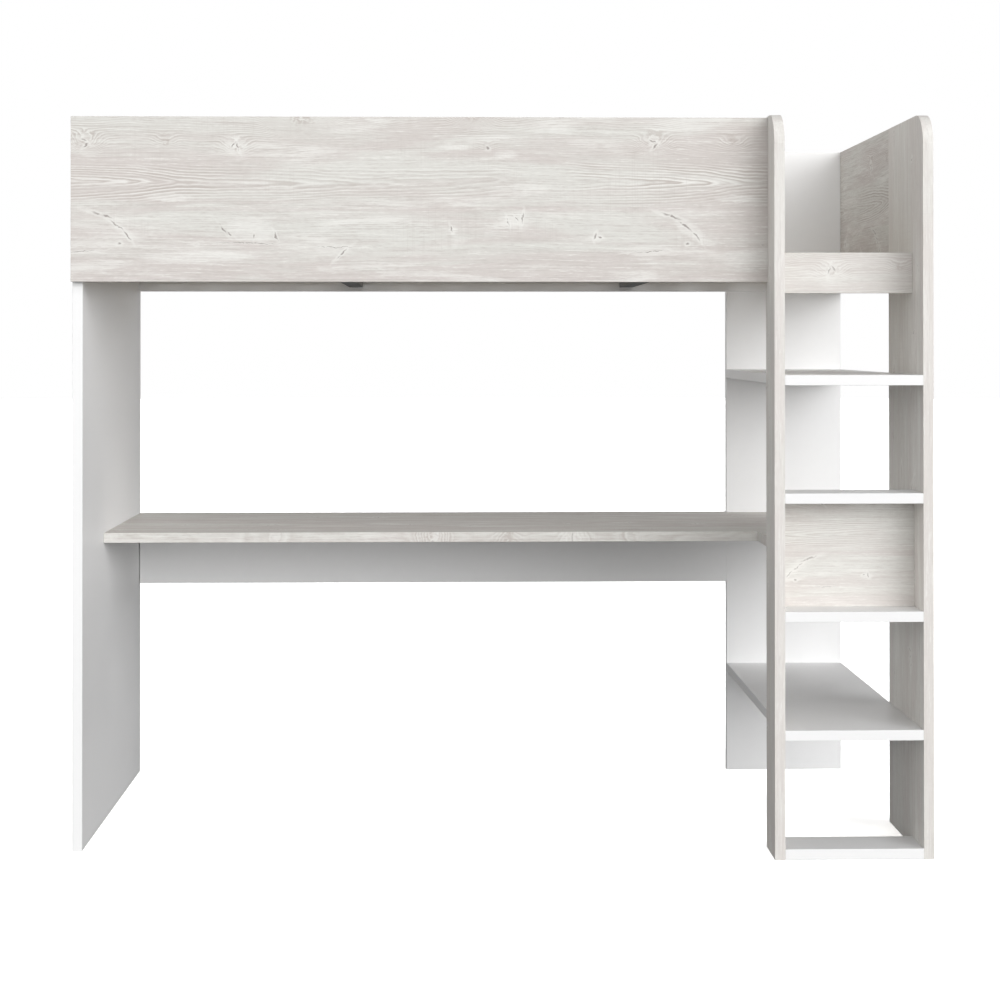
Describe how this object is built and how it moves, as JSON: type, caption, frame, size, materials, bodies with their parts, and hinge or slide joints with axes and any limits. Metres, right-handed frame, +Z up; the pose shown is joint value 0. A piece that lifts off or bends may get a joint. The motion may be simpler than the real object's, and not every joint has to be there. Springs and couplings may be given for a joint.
{
  "type": "loft bed with desk",
  "caption": "High single bed on flat panels with a writing desk beneath it and a narrow tower whose shelves are the steps of its ladder.",
  "frame": {"origin": "middle of the bed's footprint, at floor level", "axes": "+X along the bed from its foot end towards the ladder tower, +Y to the back, +Z up"},
  "size_m": [2.09, 1.06, 1.8],
  "materials": {
    "whitewashed_pine": "matt whitewashed pine decor on board, with fine grey-brown grain and small knots",
    "white_melamine": "smooth satin white melamine on board, with white edging",
    "slat_pine": "planed bare softwood",
    "grey_steel": "fine dark grey powder coat",
    "zinc": "bright zinc plate"
  },
  "bodies": {
    "root": {"back_guard": "white_melamine", "back_ledge": "slat_pine", "back_leg": "white_melamine", "crossbar_left": "grey_steel", "crossbar_right": "grey_steel", "crossbar_screw_left_back": "zinc", "crossbar_screw_left_front": "zinc", "crossbar_screw_right_back": "zinc", "crossbar_screw_right_front": "zinc", "desk_top": "whitewashed_pine", "desk_top_cam_1": "zinc", "desk_top_cam_2": "zinc", "desk_top_cam_3": "zinc", "desk_top_cam_4": "zinc", "desk_top_cam_5": "zinc", "entry_ledge": "slat_pine", "entry_rail": "whitewashed_pine", "front_guard": "whitewashed_pine", "front_ledge": "slat_pine", "headboard_panel": "whitewashed_pine", "ladder_back_panel": "whitewashed_pine", "ladder_left_side": "whitewashed_pine", "left_end_panel": "white_melamine", "modesty_panel": "white_melamine", "right_upright": "whitewashed_pine", "shelf_high": "white_melamine", "shelf_high_cam_1": "zinc", "shelf_high_cam_2": "zinc", "shelf_high_cam_3": "zinc", "shelf_high_cam_4": "zinc", "shelf_low": "white_melamine", "shelf_low_cam_1": "zinc", "shelf_low_cam_2": "zinc", "shelf_low_cam_3": "zinc", "shelf_low_cam_4": "zinc", "slat_01": "slat_pine", "slat_02": "slat_pine", "slat_03": "slat_pine", "slat_04": "slat_pine", "slat_05": "slat_pine", "slat_06": "slat_pine", "slat_07": "slat_pine", "slat_08": "slat_pine", "slat_09": "slat_pine", "slat_10": "slat_pine", "slat_11": "slat_pine", "slat_12": "slat_pine", "slat_13": "slat_pine", "slat_14": "slat_pine", "slat_15": "slat_pine", "step_1": "white_melamine", "step_1_cam_1": "zinc", "step_1_cam_2": "zinc", "step_3": "white_melamine", "step_3_cam_1": "zinc", "step_3_cam_2": "zinc", "step_4": "white_melamine", "step_4_cam_1": "zinc", "step_4_cam_2": "zinc"}
  },
  "joints": []
}
